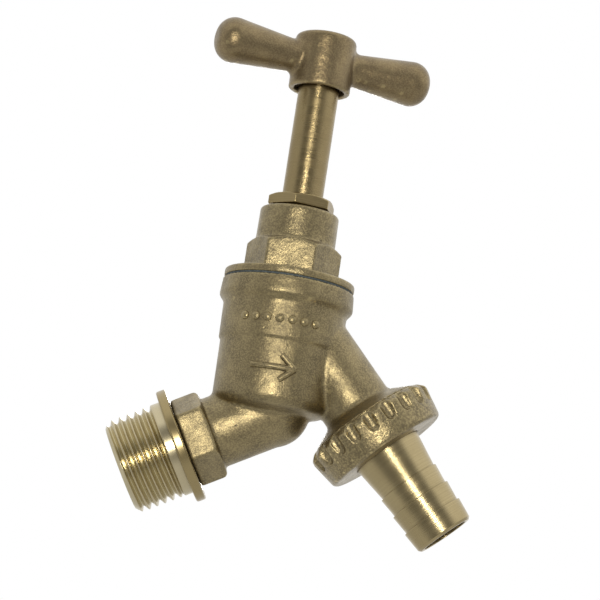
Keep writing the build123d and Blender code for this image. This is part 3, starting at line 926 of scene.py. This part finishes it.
def makePipRow():
    tree, given, result = newGroup(
        "pipRow",
        "GeometryNodeTree",
        [
            ("Count", countType, 7),
            ("Step", valueType, 10.0),
            ("Band Radius", valueType, 13.5),
            ("Pip Radius", valueType, 0.6),
            ("Proud", valueType, 0.5),
            ("Material", materialType, None),
        ],
        [("Geometry", "NodeSocketGeometry")],
    )
    dots = addNode(tree, "GeometryNodePoints", {"Count": given["Count"]}).outputs[0]
    whichPip = addNode(tree, "GeometryNodeInputIndex").outputs[0]
    middle = sums(tree, "MULTIPLY", sums(tree, "SUBTRACT", given["Count"], 1.0), 0.5)
    fromMiddle = sums(tree, "SUBTRACT", whichPip, middle)
    turnBy = sums(tree, "RADIANS", sums(tree, "MULTIPLY", fromMiddle, given["Step"]))
    acrossX = sums(tree, "MULTIPLY", sums(tree, "SINE", turnBy), given["Band Radius"])
    acrossY = sums(tree, "MULTIPLY", sums(tree, "COSINE", turnBy), given["Band Radius"])
    onBand = {"Geometry": dots, "Position": combine(tree, acrossX, acrossY)}
    placed = addNode(tree, "GeometryNodeSetPosition", onBand).outputs["Geometry"]
    ballSizes = {
        "Segments": bandPips["segments"],
        "Rings": bandPips["rings"],
        "Radius": given["Pip Radius"],
    }
    ball = addNode(tree, "GeometryNodeMeshUVSphere", ballSizes).outputs["Mesh"]
    smoothBall = addNode(tree, "GeometryNodeSetShadeSmooth", {"Geometry": ball}).outputs["Geometry"]
    spread = {
        "Points": placed,
        "Instance": smoothBall,
        "Rotation": combine(tree, z=sums(tree, "MULTIPLY", turnBy, -1.0)),
        "Scale": combine(tree, 1.0, given["Proud"], 1.0),
    }
    copies = addNode(tree, "GeometryNodeInstanceOnPoints", spread).outputs["Instances"]
    endTree(tree, copies, given, result)
    return tree


pipMark = grow(
    "pipMark",
    makePipRow(),
    {
        "Count": bandPips["count"],
        "Step": bandPips["step"],
        "Band Radius": bandPips["bandRadius"],
        "Pip Radius": bandPips["pipRadius"],
        "Proud": bandPips["proud"],
        "Material": stampedBrass,
    },
)
pipMark.data.transform(placeAlong(spindleAxis, spindleFoot, bandPips["level"]))
reportPiece("band pips", pipMark)

# what each piece rides on, stands for and is finished with
pieces = [
    (bodyCasting, "valve_body", ["tap_body"], bodyBrass, "cast_brass"),
    (inletStem, "valve_body", ["tap_body"], inletBrass, "turned_brass"),
    (outletStem, "valve_body", ["tap_body"], outletBrass, "turned_brass"),
    (arrowMark, "valve_body", [], stampedBrass, "cast_brass"),
    (pipMark, "valve_body", [], stampedBrass, "cast_brass"),
    (bonnetShell, "valve_body", ["bonnet"], stampedBrass, "cast_brass"),
    (glandCap, "valve_body", ["gland_nut"], glandBrass, "turned_brass"),
    (teeCasting, "spindle_set", ["tee_handle"], handleBrass, "cast_brass"),
    (tailPiece, "tail", ["hose_tail"], outletBrass, "turned_brass"),
    (gripNut, "nut", ["union_nut"], nutBrass, "cast_brass"),
]
for piece, body, nodes, material, slot in pieces:
    coat(piece.data, material)
    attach(piece, body)
    if nodes:
        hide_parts(*nodes)

nodeFinishes = {
    "tap_body": bodyBrass,
    "bonnet": stampedBrass,
    "gland_nut": glandBrass,
    "tee_handle": handleBrass,
    "union_nut": nutBrass,
    "hose_tail": outletBrass,
    "body_washer": blueFibre,
    "packing_washer": spindleBrass,
    "lower_packing": yarn,
    "upper_packing": yarn,
    "jumper": spindleBrass,
    "jumper_nut": spindleBrass,
    "tap_washer": blackRubber,
    "spindle": spindleBrass,
    "handle_screw": plainSteel,
    "union_washer": blackRubber,
}
for nodeName, material in nodeFinishes.items():
    coat(frame["nodes"][nodeName].data, material)
print("pieces placed:", len(pieces))

# floor
stage = dict(
    floorSize=1.6,
    floorCells=8,
    floorLevel=-0.2,
    floorDark=(0.82, 0.82, 0.81, 1),
    floorLight=(0.86, 0.86, 0.85, 1),
    roughness=0.9,
    gloss=0.1,
    grainScale=60.0,
    grainDetail=2.0,
    seenLift=0.3,
    mirroredLift=0.12,
    dimFrom=-0.12,
    dimTo=-0.42,
    dimmed=(0.3, 0.3, 0.3, 1),
)
white = (1, 1, 1, 1)


def paintFloor():
    # what mirrors the floor sees it go dim towards the camera's side of the room
    surface = {
        "Roughness": stage["roughness"],
        "Specular IOR Level": stage["gloss"],
        "Emission Color": white,
    }
    material, tree, shader = startMaterial("floorPaint", surface)
    speckle = {"Scale": stage["grainScale"], "Detail": stage["grainDetail"]}
    grain = addNode(tree, "ShaderNodeTexNoise", speckle).outputs["Fac"]
    colour = mixColour(tree, grain, stage["floorDark"], stage["floorLight"])
    ray = addNode(tree, "ShaderNodeLightPath").outputs
    depth = separate(tree, addNode(tree, "ShaderNodeTexCoord").outputs["Object"])["Y"]
    towardsRoom = ramp(tree, depth, stage["dimFrom"], stage["dimTo"])
    dimShare = sums(tree, "MULTIPLY", ray["Is Glossy Ray"], towardsRoom)
    tree.links.new(mixColour(tree, dimShare, colour, stage["dimmed"]), shader.inputs["Base Color"])
    seenLift = sums(tree, "MULTIPLY", ray["Is Camera Ray"], stage["seenLift"])
    mirrored = sums(tree, "SUBTRACT", ray["Is Glossy Ray"], dimShare)
    lift = sums(tree, "MULTIPLY_ADD", mirrored, stage["mirroredLift"], seenLift)
    tree.links.new(lift, shader.inputs["Emission Strength"])
    fromBelow = addNode(tree, "ShaderNodeNewGeometry").outputs["Backfacing"]  # open when seen from below
    tree.links.new(sums(tree, "SUBTRACT", 1.0, fromBelow), shader.inputs["Alpha"])
    return material


floorShape = bmesh.new()
cells = stage["floorCells"]
bmesh.ops.create_grid(floorShape, x_segments=cells, y_segments=cells, size=stage["floorSize"] / 2)
floorMesh = bpy.data.meshes.new("floor")
floorShape.to_mesh(floorMesh)
floorShape.free()
floorMesh.transform(Matrix.Translation((0, 0, stage["floorLevel"])))
floor = newPiece("floor", floorMesh)
coat(floorMesh, paintFloor())

# lamps
lampDistance = 1.1
middleOfTap = Vector((0.032, 0.0, 0.02))
lamps = dict(
    key=dict(direction=(-0.02, -1.0, -0.01), size=0.24, power=4.8, colour=(1.0, 0.97, 0.9)),
    back=dict(direction=(0.03, 0.98, 0.19), size=0.16, power=1.1, colour=(1.0, 0.98, 0.94)),
)


def areaLamp(name, direction, size, power, colour):
    # a round lamp that faces the middle of the tap
    lamp = bpy.data.lights.new(name, "AREA")
    lamp.shape = "DISK"
    lamp.size = size
    lamp.energy = power
    lamp.color = colour
    offset = Vector(direction).normalized() * lampDistance
    lampObject = newPiece(name, lamp)
    lampObject.location = middleOfTap + offset
    lampObject.rotation_euler = offset.to_track_quat("Z", "Y").to_euler()


for lampName, lampSettings in lamps.items():
    areaLamp(lampName, **lampSettings)

# world
room = dict(dim=0.5, front=0.26, frontStart=-0.45, frontEnd=-0.82, left=0.7, leftStart=0.2, leftEnd=-0.8)


def lightRoom():
    # mirrors and glass see the white backdrop all round, and the dim room on the camera's side
    world = bpy.data.worlds.new("studio")
    world.use_nodes = True
    tree = world.node_tree
    background = tree.nodes["Background"]
    ray = addNode(tree, "ShaderNodeLightPath").outputs
    facing = separate(tree, addNode(tree, "ShaderNodeTexCoord").outputs["Generated"])
    frontShade = ramp(tree, facing["Y"], room["frontEnd"], room["frontStart"], room["front"], 1.0)
    leftShade = ramp(tree, facing["X"], room["leftEnd"], room["leftStart"], room["left"], 1.0)
    whiteShare = sums(tree, "MULTIPLY", frontShade, leftShade)
    mirrored = sums(tree, "MAXIMUM", ray["Is Glossy Ray"], ray["Is Transmission Ray"])
    seen = sums(tree, "ADD", sums(tree, "MULTIPLY", mirrored, whiteShare), ray["Is Camera Ray"])
    notSeen = sums(tree, "SUBTRACT", 1.0, sums(tree, "MAXIMUM", mirrored, ray["Is Camera Ray"]))
    strength = sums(tree, "MULTIPLY_ADD", notSeen, room["dim"], seen)
    tree.links.new(strength, background.inputs["Strength"])
    background.inputs["Color"].default_value = white
    return world


bpy.context.scene.world = lightRoom()

# camera
view = dict(
    place=(0.013320, -0.538328, -0.082465),
    right=(0.9334535, 0.0281287, -0.3575938),
    up=(0.3561805, -0.1906014, 0.9147713),
    lens=150.39,
    sensorWidth=36.0,
    clipStart=0.01,
)
camera = newPiece("camera", bpy.data.cameras.new("camera"))
camera.data.lens = view["lens"]
camera.data.sensor_width = view["sensorWidth"]
camera.data.clip_start = view["clipStart"]
cameraRight = Vector(view["right"])
cameraUp = Vector(view["up"])
cameraBack = cameraRight.cross(cameraUp)
cameraTurn = fromColumns((cameraRight, cameraUp, cameraBack))
camera.matrix_world = Matrix.Translation(view["place"]) @ cameraTurn
bpy.context.scene.camera = camera
bpy.context.scene.view_settings.view_transform = "Standard"
print("stage and camera set")
